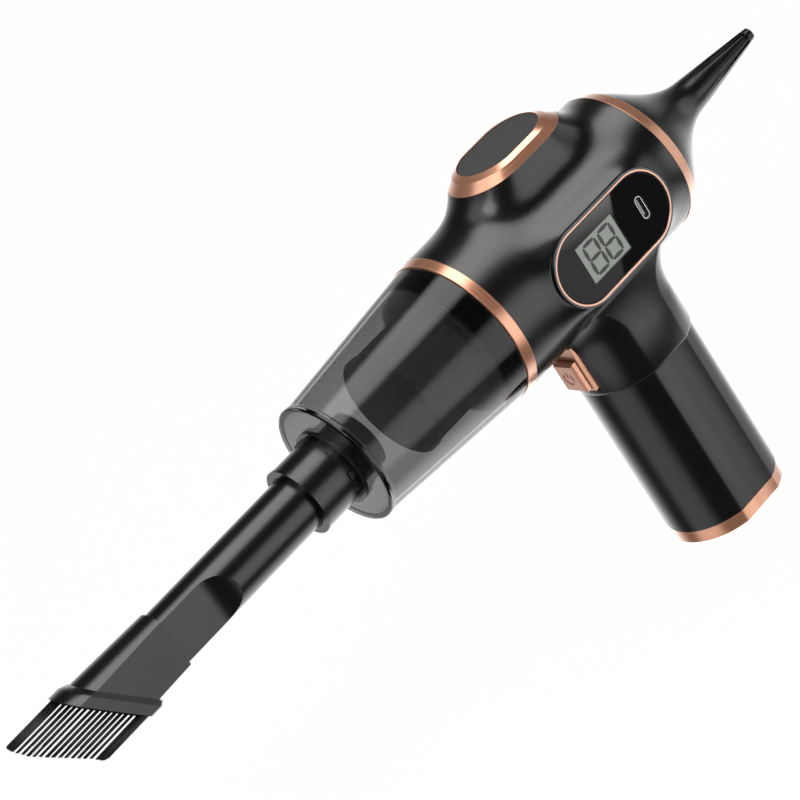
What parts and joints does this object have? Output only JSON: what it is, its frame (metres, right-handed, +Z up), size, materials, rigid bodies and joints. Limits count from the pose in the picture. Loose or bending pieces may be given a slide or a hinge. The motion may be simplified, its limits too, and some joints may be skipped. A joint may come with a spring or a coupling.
{
  "type": "handheld vacuum cleaner",
  "caption": "Cordless handheld vacuum cleaner with upright handle, smoky dust cup, crevice tool with slanted brush, rear blower nozzle, oval display and copper trim.",
  "frame": {"origin": "middle of the handle's flat base, on the surface it stands on", "axes": "+Z up along the handle, -X along the barrel towards the suction end, -Y out of the display"},
  "size_m": [0.3824, 0.0652, 0.1687],
  "materials": {
    "satin_black": "satin moulded plastic",
    "brush_black": "fine grained moulded plastic",
    "bristle": "nylon strands",
    "copper": "satin rose copper plating",
    "smoky_clear": "glossy smoky clear plastic",
    "gloss_black": "polished black",
    "cover_black": "satin cover",
    "inner_black": "plain moulded plastic",
    "filter_cloth": "pleated filter cloth",
    "soft_rubber": "soft rubber",
    "steel": "turned steel",
    "winding": "enamelled wire on laminations",
    "cell_wrap": "shrink wrapped cells",
    "board_green": "coated board",
    "lcd_grey": "satin display glass",
    "switch_black": "moulded plastic",
    "lead_red": "silicone sleeve",
    "lead_black": "silicone sleeve"
  },
  "bodies": {
    "body": {"housing_left": "satin_black", "housing_right": "satin_black", "handle_sleeve": "satin_black", "front_trim_ring": "copper", "rear_trim_ring": "copper", "display_bezel": "copper", "side_bezel": "copper", "top_bezel": "copper", "base_cap": "copper", "button_bezel": "copper", "display_window": "gloss_black", "side_plate": "gloss_black", "top_plate": "cover_black", "front_bulkhead": "inner_black", "fan_shroud": "inner_black", "exhaust_grille": "inner_black", "battery_holder": "inner_black", "cup_seal": "soft_rubber", "front_mount": "soft_rubber", "rear_mount": "soft_rubber", "base_foot": "soft_rubber", "motor_can": "steel", "motor_bearings": "steel", "housing_screws": "steel", "base_screws": "steel", "usb_shell": "steel", "motor_stator": "winding", "battery_cells": "cell_wrap", "control_board": "board_green", "display_board": "board_green", "lcd_panel": "lcd_grey", "tact_switch": "switch_black", "usb_tongue": "switch_black", "battery_leads": "lead_red", "motor_leads": "lead_black", "display_lead": "lead_black"},
    "button": {"power_button": "copper"},
    "cup": {"dust_cup": "smoky_clear", "inlet_collar": "gloss_black"},
    "filter": {"filter_frame": "inner_black", "filter_pleats": "filter_cloth", "filter_cap": "inner_black"},
    "tool": {"crevice_tube": "satin_black", "tube_seal": "soft_rubber"},
    "brush": {"brush_head": "brush_black", "brush_bristles": "bristle"},
    "nozzle": {"blower_nozzle": "satin_black"},
    "fan": {"impeller": "inner_black", "motor_shaft": "steel", "motor_rotor": "steel"}
  },
  "joints": [
    {"name": "button_press", "type": "slide", "parent": "body", "child": "button", "axis": [1, 0, 0], "range_m": [0, 0.001], "stiffness_N_per_m": 900, "springref_m": -0.001},
    {"name": "cup_pull", "type": "slide", "parent": "body", "child": "cup", "axis": [-1, 0, 0], "range_m": [0, 0.05]},
    {"name": "filter_pull", "type": "slide", "parent": "body", "child": "filter", "axis": [-1, 0, 0], "range_m": [0, 0.012]},
    {"name": "tool_pull", "type": "slide", "parent": "cup", "child": "tool", "axis": [-1, 0, 0], "range_m": [0, 0.02]},
    {"name": "brush_pull", "type": "slide", "parent": "tool", "child": "brush", "axis": [-1, 0, 0], "range_m": [0, 0.015]},
    {"name": "nozzle_pull", "type": "slide", "parent": "body", "child": "nozzle", "axis": [1, 0, 0], "range_m": [0, 0.02]},
    {"name": "fan_spin", "type": "hinge", "parent": "body", "child": "fan", "pos_m": [-0.0015, 0, 0.128], "axis": [1, 0, 0], "continuous": true}
  ]
}
